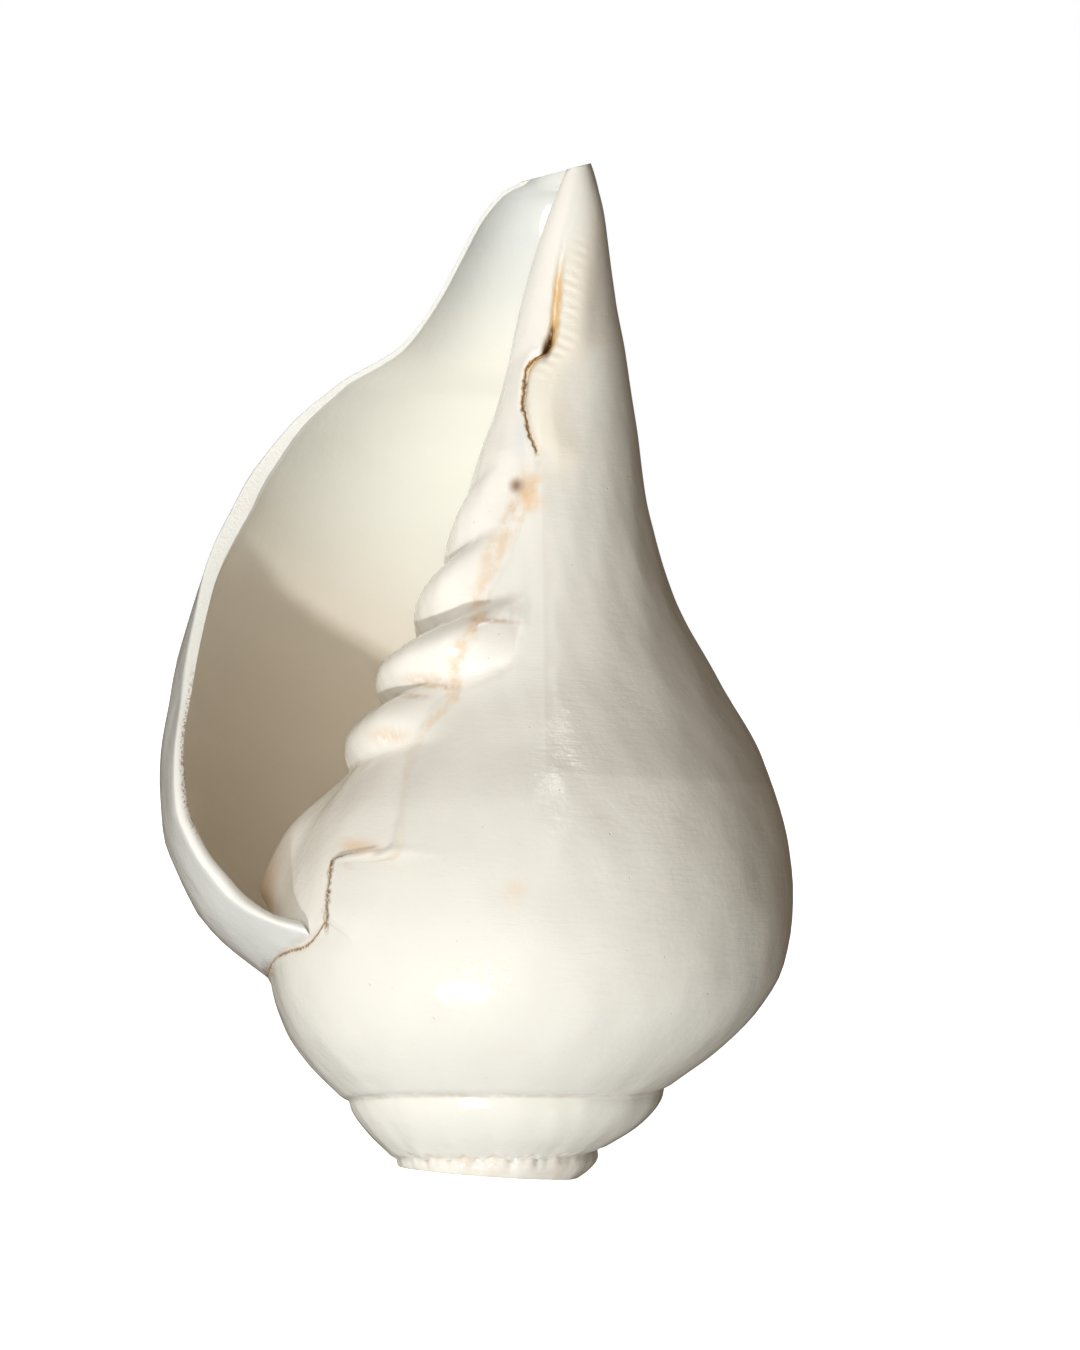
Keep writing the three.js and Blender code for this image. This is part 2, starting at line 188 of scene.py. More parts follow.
def plait_height(azimuth, z):
    """Height of the plaits: for each a leaning half sine across its width, which scales
    with the whorl and fades with the azimuth."""
    scale = growth(azimuth)
    place = (z + APEX_DEPTH) / scale
    total = 0 * place
    for at, width, height, end in PLAITS:
        across = np.clip((place - at) / width + 0.55, 0, 1)
        ridge = np.clip(np.sin(np.pi * across**1.2), 0, 1) ** 0.65
        total = total + height * ridge * ease(end, end - PLAIT_FADE, azimuth) * scale * GROWTH
    return total * ease(LENGTH, LENGTH - 12, z)


def whorl_radius(azimuth, z):
    """Radius of the whorl's face: the outline scaled by growth, times the flare of the lip
    side and the closing at the tip, plus the plaits."""
    turn = azimuth / 180
    scale = growth(azimuth)
    height = z - climb(azimuth) * (1 - ease(25, 60, z))
    plain = scale * outline((height + APEX_DEPTH) / scale)
    right = ease(-170, -60, azimuth) * ease(160, 40, azimuth)
    round_it = flare(z) ** ease(0.1, 1, turn) * neck(z) ** right
    closing = taper(z) ** (1 - ease(0, 0.7, turn)) * ease(POLE, SHUT_FROM, z)
    curl = 1 - LIP_CURL * ease(176, 195, azimuth) * bump(z - 60, 16)
    return plain * round_it * closing * curl + plait_height(azimuth, z)


def wall_thickness(azimuth, z):
    """Thickness of the wall: it grows with the whorl and thins to the lip. In the early
    turns it fills the corner beside the seam, and at last the whole passage."""
    body = WALL * np.minimum(growth(azimuth), 1.1)
    edge = lip_wall(z)
    near = ease(LIP_AZIMUTH - LIP_ZONE, LIP_AZIMUTH, azimuth + LIP_AZIMUTH - lip_edge(z))
    from_seam = np.clip(z - suture_height(azimuth), 0, None) / growth(azimuth)
    corner = CORNER_GAIN * np.exp(-from_seam / CORNER_REACH) * ease(-200, -500, azimuth)
    core = CORE_GAIN * ease(CORE_FROM, CORE_TO, azimuth)
    return (body + (edge - body) * near) * (1 + corner + core)


def passage_outer(azimuth, z):
    """Radius of the passage's outer side: the wall's thickness in from the whorl's face,
    measured square to the outline."""
    step = 0.2
    rise = whorl_radius(azimuth, z + step) - whorl_radius(azimuth, z - step)
    slope = np.clip(rise / (2 * step), -1.6, 1.6)
    return whorl_radius(azimuth, z) - wall_thickness(azimuth, z) * np.hypot(1, slope)


def passage_inner(azimuth, z):
    """Radius of the passage's inner side: the face of the whorl one turn back, which
    swells a little behind the lip's corner."""
    turned = azimuth - 360
    swell = (CORNER_SWELL * ease(-158, -182, turned) * ease(-250, -200, turned)
             * ease(29.5, 34, z) * ease(52, 40, z))
    return whorl_radius(turned, z) + swell


def row_azimuth(row, z):
    """Azimuth of a row: straight up to FREE_AZIMUTH, then turning to the lip's curve."""
    share = np.clip((row - FREE_AZIMUTH) / (LIP_AZIMUTH - FREE_AZIMUTH), 0, 1)
    return np.where(row > FREE_AZIMUTH, FREE_AZIMUTH + share * (lip_edge(z) - FREE_AZIMUTH), row)


def passage_range(rows):
    """Lowest and highest height of the passage in each row, where its two sides meet: the
    first and last sign change of the gap on each side of its widest place."""
    count = 500
    bottom = suture_height(rows)[:, None]
    z = bottom + (POLE - bottom) * np.linspace(0, 1, count)[None]
    azimuth = row_azimuth(rows[:, None], z)
    gap = passage_outer(azimuth, z) - passage_inner(azimuth, z)
    index = np.arange(count)[None]
    widest = np.argmax(gap, axis=1)[:, None]
    shut = gap <= 0
    low = np.where(shut & (index < widest), index, -1).max(axis=1)
    high = np.where(shut & (index > widest), index, count).min(axis=1)

    def crossing(a, b):
        i = np.arange(len(rows))
        share = gap[i, a] / (gap[i, a] - gap[i, b])
        return z[i, a] + share * (z[i, b] - z[i, a])

    return crossing(low + 1, low), crossing(high - 1, high)


def place(azimuth, z, radius):
    """Point at a radius from the axis, which leans to the right near the tip."""
    angle = np.radians(azimuth)
    lean = TIP_LEAN * (np.clip(z - LEAN_FROM, 0, None) / (LENGTH - LEAN_FROM)) ** LEAN_POWER
    return np.stack([lean + radius * np.cos(angle), radius * np.sin(angle), z], axis=-1)


def glaze_distance(azimuth, z, x):
    """How far a place on the front lies to the right of the glaze's edge; far off the
    front it is large."""
    front = (azimuth > -190) & (azimuth < 10)
    return np.where(front, x - glaze_edge(z), FAR)


def front_relief(azimuth, z, x):
    """Relief of the front about the glaze's edge: the shell's outer layer stands a little
    over the glaze, a chink runs between them along the canal with a creamy ridge at its
    right, and a shallow hollow lies left of it."""
    d = glaze_distance(azimuth, z, x)
    wobble = 0.35 * np.sin(z * 2.1) + 0.25 * np.sin(z * 4.7 + 1.0)
    right = np.clip(d, 0, None)
    return (ledge_rise(z) * ease(-0.2, 0.2, d + 0.3 * wobble) * np.exp(-right / 3.5)
            - chink_depth(z) * bump(d + 0.2 * wobble, 0.38)
            + ridge_rise(z) * bump(right - 2.6, 2.2) * ease(0, 0.8, right)
            - hollow_depth(z) * bump(d + 2.6, 1.9))


def seam_relief(azimuth, z, below, above):
    """Relief by the seams: a whorl's lowest edge stands proud over the one before, with a
    thin groove under it, and the early bands belly out between their seams. The edge is
    worn and chipped near the spire."""
    over = np.clip(z - below, 0, None)
    under = np.clip(above - z, 0, None)
    early = ease(-140, -420, azimuth)
    chips = np.sin(azimuth * 0.157) * np.sin(azimuth * 0.083 + 1) + 0.25 * np.sin(azimuth * 0.41)
    proud = 0.22 + early * (0.1 + 0.25 * chips)
    share = np.clip(over / (over + under + 1e-6), 0, 1)
    belly = 0.5 + 0.4 * np.cos(np.radians(azimuth))
    belly = belly * np.sin(np.pi * share) * ease(-120, -250, azimuth)
    return (proud * np.exp(-over / 2.2) * ease(0.05, 0.45, over) - 0.16 * bump(over, 0.28)
            - 0.25 * bump(under, 0.6) + belly)


def wear(azimuth, z):
    """Small unevenness of a hand-polished surface: low waves in four directions, which fade
    up the canal, and a shallow waist below the corner of the lip."""
    turn = np.radians(azimuth)
    waist = WAIST * bump(azimuth + 168, 34) * bump(z - 19.5, 5.5)
    return ease(108, 70, z) * (
        0.06 * np.sin(9 * turn + 0.11 * z) * np.sin(0.21 * z + 1.3)
        + 0.04 * np.sin(17 * turn - 0.23 * z + 2.0) + 0.035 * np.sin(0.47 * z + 5 * turn)
        + 0.02 * np.sin(31 * turn + 0.61 * z)) - waist


def outer_rows():
    """Azimuths of the rows of the outer face, the same in every turn."""
    last = np.concatenate([
        np.linspace(LIP_AZIMUTH - 360, SIDE_AZIMUTH, ROWS_FRONT + 1)[:-1],
        np.linspace(SIDE_AZIMUTH, FREE_AZIMUTH, ROWS_SIDE + 1)[:-1],
        np.linspace(FREE_AZIMUTH, LIP_AZIMUTH, ROWS_LIP + 1)])
    early = [last[:-1] - 360 * turn for turn in range(TURNS - 1, 0, -1)]
    return np.concatenate([*early, last])


def quads(ids):
    """Faces between neighbouring rows and columns of a grid of point numbers."""
    return np.stack([ids[:-1, :-1], ids[1:, :-1], ids[1:, 1:], ids[:-1, 1:]], -1).reshape(-1, 4)


def fan(loop, centre):
    """Triangles from a loop of points to a centre."""
    turned = np.roll(loop, -1)
    return np.stack([turned, loop, np.full(len(loop), centre)], -1)


def shell_surface():
    """The closed surface of the coil: the outer face is a grid of azimuth by height, where
    each whorl's first column is the last column of the band one turn back; the passage
    is a second grid, with an inner and an outer side that meet at its two corners; the lip
    joins the outer face to the passage with a rounded strip."""
    plain = ROWS_FRONT + ROWS_SIDE
    per_turn = plain + ROWS_LIP
    columns = COLUMNS_BAND + COLUMNS_BODY
    rows = outer_rows()
    last = len(rows) - 1
    first = last - per_turn
    corner = suture_height(LIP_AZIMUTH)
    low, high = passage_range(np.array([LIP_AZIMUTH]))
    inner_shares = np.linspace(0, 1, COLUMNS_BODY - 1)
    inner_shares = inner_shares - 0.05 * np.sin(2 * np.pi * inner_shares)
    mouth = (low + inner_shares * (high - low) - corner) / (POLE - corner)
    shares = np.concatenate([[0], mouth, [1]])

    # heights of the outer face
    bottom = suture_height(rows)
    index = np.arange(len(rows))
    top = np.where(index < first, suture_height(rows + 360),
                   corner + 26 * np.clip(index - first, 0, None) / per_turn)
    steps = np.linspace(0, 1, COLUMNS_BAND + 1)[:-1] ** 1.6
    band = bottom[:, None] + (top - bottom)[:, None] * steps[None]
    body = top[:, None] + (POLE - top)[:, None] * shares[None]
    z = np.concatenate([band, body], axis=1)
    away = np.clip((rows - rows[first]) / (FREE_AZIMUTH - rows[first]), 0, 1)[:, None]
    leaving = (1 - away) * (lip_edge(z) - 360) + away * FREE_AZIMUTH
    turning = (index[:, None] >= first) & (away < 1)
    azimuth = np.where(turning, leaving, row_azimuth(rows[:, None], z))
    radius = whorl_radius(azimuth, z)
    radius[:, 0] = whorl_radius(azimuth[:, 0] - 360, z[:, 0])
    x = place(azimuth, z, radius)[..., 0]
    has_seam = (index < first) | (rows < LIP_AZIMUTH - 360)
    seam_top = np.where(has_seam, top, 999.0)[:, None]
    radius = radius + seam_relief(azimuth, z, bottom[:, None], seam_top) + wear(azimuth, z)
    radius = radius + np.where(z > bottom[:, None] + 1, front_relief(azimuth, z, x), 0.0)
    radius[:, -1] = 0
    outer = place(azimuth, z, radius)

    # point numbers of the outer face, with the shared ones merged
    ids = np.arange(z.size).reshape(z.shape)
    ids[:-per_turn, COLUMNS_BAND] = ids[per_turn:, 0]
    ids[:, -1] = ids[last, -1]
    faces = [quads(ids[:first + 1, :COLUMNS_BAND + 1]), quads(ids[first:])]
    points = [outer.reshape(-1, 3)]
    to_seam = np.minimum(z - bottom[:, None], np.abs(seam_top - z))
    info = [np.stack([azimuth, glaze_distance(azimuth, z, outer[..., 0]), to_seam, 0 * z],
                     -1).reshape(-1, 4)]
    count = z.size

    # the start of the coil
    loop = np.concatenate([ids[:per_turn + 1, 0], ids[0, 1:COLUMNS_BAND][::-1]])
    triangles = [fan(loop, count)]
    points.append(np.array([[0, 0, bottom[0] - 3]]))
    info.append(np.array([[0, FAR, FAR, 0]]))
    count += 1

    # the passage
    early = int(round((LIP_AZIMUTH - 360 - PASSAGE_START) / 360 * PASSAGE_ROWS))
    passage_rows = np.concatenate([
        np.linspace(PASSAGE_START, LIP_AZIMUTH - 360, early + 1)[:-1],
        np.linspace(LIP_AZIMUTH - 360, FREE_AZIMUTH, PASSAGE_ROWS // 2 + 1)[:-1],
        rows[first + plain::2]])
    low, high = passage_range(passage_rows)
    span = (high - low)[:, None]
    z_in = low[:, None] + span * inner_shares[None]
    outer_shares = (z[last] - corner) / (POLE - corner)
    z_out = low[:, None] + span * outer_shares[None]
    az_in = row_azimuth(passage_rows[:, None], z_in)
    az_out = row_azimuth(passage_rows[:, None], z_out)
    inner = place(az_in, z_in, passage_inner(az_in, z_in))
    outside = place(az_out, z_out, passage_outer(az_out, z_out))
    in_ids = count + np.arange(z_in.size).reshape(z_in.shape)
    in_ids[-1] = ids[first, COLUMNS_BAND + 1:columns]
    count += z_in.size
    out_ids = count + np.arange(z_out.size).reshape(z_out.shape)
    out_ids[:, 0], out_ids[:, -1] = in_ids[:, 0], in_ids[:, -1]
    count += z_out.size
    points += [inner.reshape(-1, 3), outside.reshape(-1, 3)]
    depth_in = np.clip((LIP_AZIMUTH - passage_rows)[:, None] / 60, 0, 1) + 0 * z_in
    depth_out = np.clip((LIP_AZIMUTH - passage_rows)[:, None] / 12, 0, 1) + 0 * z_out
    info.append(np.stack([az_in - 360, glaze_distance(az_in - 360, z_in, inner[..., 0]),
                          FAR + 0 * z_in, depth_in], -1).reshape(-1, 4))
    info.append(np.stack([az_out, FAR + 0 * z_out, FAR + 0 * z_out, depth_out],
                         -1).reshape(-1, 4))
    faces += [quads(in_ids), quads(out_ids)[:, ::-1]]
    end = np.concatenate([out_ids[0], in_ids[0, 1:-1][::-1]])
    flat = np.concatenate(points)
    triangles.append(fan(end, count))
    points.append(flat[end].mean(axis=0)[None])
    info.append(np.array([[0, FAR, FAR, 1]]))
    count += 1

    # the lip: a flattened half round from the outer face to the passage, out along the coil
    flat = np.concatenate(points)
    start, stop = flat[ids[last]], flat[out_ids[-1]]
    onward = start - flat[ids[last - 1]]
    onward = onward / (np.linalg.norm(onward, axis=1, keepdims=True) + 1e-9)
    width = np.linalg.norm(stop - start, axis=1)
    roundness = 0.03 + 0.4 * ease(60, 38, z[last])
    arc = np.array(LIP_ARC[1:-1])
    across = arc[None, :, None]
    swell = (np.sin(np.pi * arc)[None] ** 0.5 * (width * roundness)[:, None])[..., None]
    strip = start[:, None] * (1 - across) + stop[:, None] * across + swell * onward[:, None]
    strip_ids = count + np.arange(strip[..., 0].size).reshape(strip.shape[:2])
    strip_ids = np.concatenate([ids[last][:, None], strip_ids, out_ids[-1][:, None]], axis=1)
    strip_ids[0], strip_ids[-1] = strip_ids[0, :1], strip_ids[-1, :1]
    # the strip's two ends lie on the edges that the outer face already has
    strip_ids[0, -1], strip_ids[-1, -1] = out_ids[-1, 0], out_ids[-1, -1]
    points.append(strip.reshape(-1, 3))
    lip_facts = np.zeros((*strip.shape[:2], 4)) + np.array([LIP_AZIMUTH, FAR, FAR, -1.0])
    lip_facts[..., 3] -= arc[None]
    info.append(lip_facts.reshape(-1, 4))
    faces.append(quads(strip_ids)[:, ::-1])
    return (np.concatenate(points), np.concatenate(faces), np.concatenate(triangles),
            np.concatenate(info))


def mesh_from(name, points, four_sided, triangles, info):
    """Mesh of the surface, with the points no face uses left out, and its facts stored on
    the points."""
    corner_lists = [four_sided, np.concatenate([triangles, triangles[:, :1]], axis=1)]
    rough = np.concatenate(corner_lists)
    # a face that has two corners on one point becomes a triangle, and a flat one goes
    same = rough == np.roll(rough, -1, axis=1)
    lost = same.sum(axis=1)
    whole = rough[lost == 0]
    cut = rough[lost == 1]
    keep = ~same[lost == 1]
    three = cut[keep].reshape(-1, 3)
    used, renumbered = np.unique(np.concatenate([whole.ravel(), three.ravel()]),
                                 return_inverse=True)
    whole = renumbered[:whole.size].reshape(-1, 4)
    three = renumbered[whole.size:].reshape(-1, 3)
    mesh = bpy.data.meshes.new(name)
    mesh.vertices.add(len(used))
    mesh.vertices.foreach_set("co", (points[used] / MM_PER_METRE).astype(np.float32).ravel())
    sizes = np.concatenate([np.full(len(whole), 4), np.full(len(three), 3)])
    mesh.loops.add(whole.size + three.size)
    loops = np.concatenate([whole.ravel(), three.ravel()])
    mesh.loops.foreach_set("vertex_index", loops.astype(np.int32))
    mesh.polygons.add(len(sizes))
    starts = np.concatenate([[0], np.cumsum(sizes)[:-1]])
    mesh.polygons.foreach_set("loop_start", starts.astype(np.int32))
    mesh.update(calc_edges=True)
    for column, key in enumerate(FACTS):
        attribute = mesh.attributes.new(key, "FLOAT", "POINT")
        attribute.data.foreach_set("value", info[used, column].astype(np.float32))
    mesh.validate()
    return mesh


def grinding_block(name, point, rise):
    """Box whose face through the point rises to the right and to the back by the given
    slopes. It lies below a level face, and above a sloping one."""
    half, depth = 80.0, 40.0 if any(rise) else -40.0
    corners = [(x, y, level) for level in (0.0, depth) for x, y in
               ((-half, -half), (half, -half), (half, half), (-half, half))]
    points = [(point[0] + x, point[1] + y, point[2] + x * rise[0] + y * rise[1] + level)
              for x, y, level in corners]
    sides = [(0, 1, 5, 4), (1, 2, 6, 5), (2, 3, 7, 6), (3, 0, 4, 7), (3, 2, 1, 0), (4, 5, 6, 7)]
    if depth < 0:
        sides = [side[::-1] for side in sides]
    block = bpy.data.meshes.new(name)
    block.from_pydata([[length / MM_PER_METRE for length in p] for p in points], [], sides)
    holder = bpy.data.objects.new(name, block)
    bpy.context.collection.objects.link(holder)
    return holder


def grind(piece, blocks):
    """Takes away what lies inside the blocks."""
    for block in blocks:
        cut = piece.modifiers.new(block.name, "BOOLEAN")
        cut.operation = "DIFFERENCE"
        cut.solver = "MANIFOLD"
        cut.object = block
    graph = bpy.context.evaluated_depsgraph_get()
    ground = bpy.data.meshes.new_from_object(piece.evaluated_get(graph))
    piece.modifiers.clear()
    piece.data = ground
    for block in blocks:
        bpy.data.objects.remove(block)


shell = bpy.data.objects.new("conch", mesh_from("conch", *shell_surface()))
bpy.context.collection.objects.link(shell)
grind(shell, [grinding_block("spire", (0, 0, 0), (0, 0)),
              grinding_block("tip", TIP_CUT, TIP_SLOPE)])
mesh = shell.data
mesh.shade_smooth()
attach(shell, "root")
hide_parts("conch_shell")

# ---- the shell's colours ----
IVORY = (0.84, 0.845, 0.80)
IVORY_PALE = (0.865, 0.87, 0.825)
STRAW = (0.80, 0.765, 0.68)
SAND = (0.87, 0.80, 0.71)
PORCELAIN = (0.925, 0.915, 0.875)
BRUSHED_GREY = (0.70, 0.685, 0.63)
# painted shade: the side of a polished facet that mirrors less of the bright surroundings
FACET_SHADE_GREY = (0.70, 0.685, 0.65)
BLOTCH_TAN = (0.84, 0.75, 0.65)
CREAM = (0.91, 0.84, 0.72)
BLUSH = (0.86, 0.75, 0.66)
STAIN_TAN = (0.80, 0.61, 0.42)
# partly stain, partly painted shade on the plaits' lower sides
PLAIT_TAN_AND_SHADE = (0.78, 0.64, 0.50)
PLAIT_BROWN_AND_SHADE = (0.55, 0.36, 0.22)
HOLLOW_BLUE = (0.66, 0.70, 0.74)
SPOT_BROWN = (0.33, 0.20, 0.13)
RUST = (0.86, 0.58, 0.33)
AMBER = (0.80, 0.53, 0.22)
# partly dirt, partly painted shade in the chink's crack
CHINK_CRACK_DIRT_AND_SHADE = (0.20, 0.10, 0.03)
# painted shade: the dark of the chink's opening
CHINK_HOLE_SHADE = (0.14, 0.06, 0.02)
LEDGE_DIRT = (0.30, 0.17, 0.08)
LEDGE_ORANGE = (0.86, 0.62, 0.40)
# partly dirt, partly painted shade in the seams' grooves
SEAM_DIRT_AND_SHADE = (0.55, 0.47, 0.38)
CORNER_DIRT = (0.30, 0.19, 0.10)
BAND_TAN = (0.80, 0.67, 0.58)
# partly stain, partly painted shade along a shadow edge by the lip's corner
CORNER_TAN_AND_SHADE = (0.80, 0.62, 0.45)
CORNER_CRACK = (0.28, 0.17, 0.09)
INSIDE_WHITE = (0.885, 0.885, 0.825)
# partly the passage's own beige, partly painted shade deeper in
INSIDE_TINT_AND_SHADE = (0.93, 0.845, 0.725)
INSIDE_GLAZE = (0.925, 0.915, 0.88)
# partly the wall's tan, partly painted shade behind the lip's corner
INSIDE_BROWN_AND_SHADE = (0.76, 0.58, 0.41)
CANAL_BLUE = (0.71, 0.735, 0.74)
COOL_WHITE = (0.73, 0.765, 0.78)
LIP_WHITE = (0.87, 0.88, 0.86)
CHALK_GREY = (0.80, 0.80, 0.78)
SPECK_BROWN = (0.34, 0.22, 0.14)
CUT_CREAM = (0.82, 0.79, 0.71)

# Tan marks and brown lines under the plaits, partly stain and partly painted shade on their lower
# sides: x, height, half width, half height.
PLAIT_STAIN_AND_SHADE_MARKS = ((-15.3, 53.8, 4.6, 1.8), (-11.3, 60.8, 5.0, 1.6))
PLAIT_DIRT_AND_SHADE_LINES = ((-3.6, 68.9, 5.6, 0.5), (-13.0, 58.9, 3.6, 0.6), (-9.3, 60.3, 3.2, 0.6))


class Recipe:
    """A material's node tree, built up from small steps. Lengths are millimetres."""

    def __init__(self, name):
        self.material = bpy.data.materials.new(name)
        self.material.use_nodes = True
        self.tree = self.material.node_tree
        self.skin = self.tree.nodes["Principled BSDF"].inputs
        place = self.make("ShaderNodeTexCoord").outputs["Object"]
        self.place = self.vector("SCALE", place, scale=MM_PER_METRE)
        parts = self.make("ShaderNodeSeparateXYZ")
        self.link(self.place, parts.inputs[0])
        self.x, self.y, self.z = parts.outputs

    def link(self, source, socket):
        """Joins a value, or another node's output, to a socket."""
        if isinstance(source, bpy.types.NodeSocket):
            self.tree.links.new(source, socket)
        else:
            socket.default_value = source

    def make(self, kind, **settings):
        """A new node with some of its settings set."""
        node = self.tree.nodes.new(kind)
        for key, value in settings.items():
            setattr(node, key, value)
        return node

    def fact(self, name):
        """A number stored on the mesh's points."""
        return self.make("ShaderNodeAttribute", attribute_name=name).outputs["Fac"]

    def math(self, operation, *values, clamp=False):
        """The result of one step of arithmetic."""
        node = self.make("ShaderNodeMath", operation=operation, use_clamp=clamp)
        for value, socket in zip(values, node.inputs):
            self.link(value, socket)
        return node.outputs[0]

    def vector(self, operation, a, b=None, scale=None):
        """The result of one step of vector arithmetic."""
        node = self.make("ShaderNodeVectorMath", operation=operation)
        self.link(a, node.inputs[0])
        if b is not None:
            self.link(b, node.inputs[1])
        if scale is not None:
            self.link(scale, node.inputs["Scale"])
        return node.outputs["Vector"]

    def times(self, *values):
        """Product of several values."""
        total = values[0]
        for value in values[1:]:
            total = self.math("MULTIPLY", total, value)
        return total

    def plus(self, *values):
        """Sum of several values."""
        total = values[0]
        for value in values[1:]:
            total = self.math("ADD", total, value)
        return total

    def rise(self, value, start, end):
        """0 at start, 1 at end, smooth between."""
        node = self.make("ShaderNodeMapRange", interpolation_type="SMOOTHSTEP")
        self.link(value, node.inputs["Value"])
        low, high = min(start, end), max(start, end)
        self.link(low, node.inputs["From Min"])
        self.link(high, node.inputs["From Max"])
        self.link(0.0 if start < end else 1.0, node.inputs["To Min"])
        self.link(1.0 if start < end else 0.0, node.inputs["To Max"])
        return node.outputs["Result"]

    def near(self, value, centre, width):
        """1 at the centre, falling smoothly to 0 a width away on both sides."""
        away = self.math("ABSOLUTE", self.math("SUBTRACT", value, centre))
        return self.rise(away, width, 0.0)

    def spot(self, x, z, across, up):
        """1 at a place on the front, falling to 0 at the rim of an oval about it."""
        dx = self.math("DIVIDE", self.math("SUBTRACT", self.x, x), across)
        dz = self.math("DIVIDE", self.math("SUBTRACT", self.z, z), up)
        squares = self.plus(self.math("POWER", dx, 2.0), self.math("POWER", dz, 2.0))
        length = self.math("SQRT", squares)
        return self.times(self.rise(length, 1.0, 0.0), self.rise(self.y, 0.0, -2.0))

    def noise(self, scale, detail, roughness, stretch=(1, 1, 1)):
        """Cloudy noise, scale features per millimetre, squeezed by the stretch."""
        node = self.make("ShaderNodeTexNoise")
        node.inputs["Scale"].default_value = scale
        node.inputs["Detail"].default_value = detail
        node.inputs["Roughness"].default_value = roughness
        self.link(self.vector("MULTIPLY", self.place, stretch), node.inputs["Vector"])
        return node.outputs["Fac"]

    def curve_of(self, value, xs, ys):
        """A value read off a smooth curve through points."""
        low, high = min(xs), max(xs)
        least, most = min(ys), max(ys)
        node = self.make("ShaderNodeFloatCurve")
        points = node.mapping.curves[0].points
        while len(points) < len(xs):
            points.new(0.5, 0.5)
        for point, x, y in zip(points, xs, ys):
            point.location = ((x - low) / (high - low), (y - least) / (most - least))
            point.handle_type = "AUTO_CLAMPED"
        node.mapping.update()
        share = self.math("DIVIDE", self.math("SUBTRACT", value, low), high - low, clamp=True)
        self.link(share, node.inputs["Value"])
        return self.plus(self.times(node.outputs[0], most - least), least)

    def paint(self, base, share, colour):
        """The base colour, covered by another to a share."""
        node = self.make("ShaderNodeMix", data_type="RGBA")
        self.link(share, node.inputs["Factor"])
        self.link(base if isinstance(base, bpy.types.NodeSocket) else (*base, 1), node.inputs[6])
        self.link((*colour, 1), node.inputs[7])
        return node.outputs[2]

    def bump(self, height):
        """Normal bent by a height in millimetres."""
        node = self.make("ShaderNodeBump")
        node.inputs["Strength"].default_value = 1.0
        node.inputs["Distance"].default_value = 1 / MM_PER_METRE
        self.link(height, node.inputs["Height"])
        return node.outputs["Normal"]


class ShellRecipe(Recipe):
    """Recipe with the patterns and masks that several of the shell's marks share."""

    def __init__(self):
        super().__init__("shell")
        self.azimuth, self.glaze, self.seam, self.inside = (self.fact(name) for name in FACTS)
        # patterns: soft clouds, mottling, upright streaks, fine grit, polish marks
        self.cloud = self.noise(0.055, 3.0, 0.55)
        self.mottle = self.noise(0.35, 5.0, 0.6)
        self.streaks = self.noise(0.9, 4.0, 0.65, stretch=(1, 1, 0.4))
        self.grit = self.noise(2.4, 4.0, 0.7)
        self.turn_marks = self.noise(1.6, 5.0, 0.7, stretch=(0.12, 0.12, 1.0))
        # masks: the outer face, its front, the lip's edge, its ground part, the cuts
        self.outer = self.rise(self.inside, 0.03, 0.0)
        self.outside = self.rise(self.inside, 0.3, 0.0)
        self.off_lip = self.rise(self.inside, -0.9, -0.5)
        self.front = self.times(self.rise(self.y, 1.0, -1.0), self.outer, self.off_lip)
        self.lip = self.rise(self.inside, -0.2, -0.8)
        self.chalk = self.times(self.lip, self.rise(self.z, 50.0, 56.0))
        self.cut = self.rise(self.z, 0.02, 0.005)
        # the glaze's side of its edge, with the edge made uneven
        uneven = self.times(self.plus(self.noise(1.1, 3.0, 0.6), -0.5), 1.3)
        self.on_glaze = self.rise(self.plus(uneven, self.glaze), 0.3, -0.8)
        self.colour = self.paint(IVORY, self.rise(self.cloud, 0.4, 0.72), IVORY_PALE)

    def cover(self, colour, *shares):
        """Paints a colour over those so far, to the product of the shares."""
        self.colour = self.paint(self.colour, self.times(*shares), colour)

    def less(self, value):
        """What is left of 1."""
        return self.math("SUBTRACT", 1.0, value)


def paint_growth(r):
    """Bands that follow the coil and a little mottling, whiter on the glaze."""
    grown = r.noise(0.5, 4.0, 0.6, stretch=(0.5, 0.5, 0.08))
    r.cover(STRAW, r.rise(grown, 0.5, 0.8), 0.18)
    r.cover(SAND, r.rise(r.mottle, 0.55, 0.8), 0.3)
    r.cover(PORCELAIN, r.front, r.on_glaze, r.rise(r.z, 28.0, 30.0), 0.85)


def paint_right_side(r):
    """Brushed shell on the right, with the edges of two polished facets and painted shade beyond
    them, where the polish mirrors less of the bright surroundings, a tan blotch, and the creamy
    ridge right of the chink with pinkish warmth about it."""
    facing = r.rise(r.y, 2.0, -2.0)
    dashes = r.noise(2.2, 4.0, 0.7, stretch=(0.1, 0.1, 1.0))
    r.cover(BRUSHED_GREY, r.rise(r.x, 6.0, 9.0), facing, r.rise(r.z, 14.0, 30.0), r.outer,
            r.rise(dashes, 0.5, 0.66), 0.2)
    # painted shade: grey right of a leaning line, where the polish mirrors less of the bright
    # surroundings
    leaning_x = r.plus(r.x, r.times(r.z, 0.085))
    r.cover(FACET_SHADE_GREY, r.rise(leaning_x, 8.3, 8.8), facing, r.rise(r.z, 50.6, 51.4),
            r.rise(r.z, 100.0, 88.0), 0.42)
    r.cover(BLOTCH_TAN, r.spot(1.4, 36.0, 3.0, 2.4), r.rise(r.mottle, 0.35, 0.6), 0.75)
    r.cover(CREAM, r.front, r.near(r.glaze, 3.0, 3.6), r.rise(r.z, 84.0, 92.0),
            r.rise(r.z, 122.0, 112.0), 0.6)
    r.cover(BLUSH, r.front, r.near(r.glaze, 5.5, 4.5), r.rise(r.z, 84.0, 96.0),
            r.rise(r.mottle, 0.35, 0.7), 0.35)


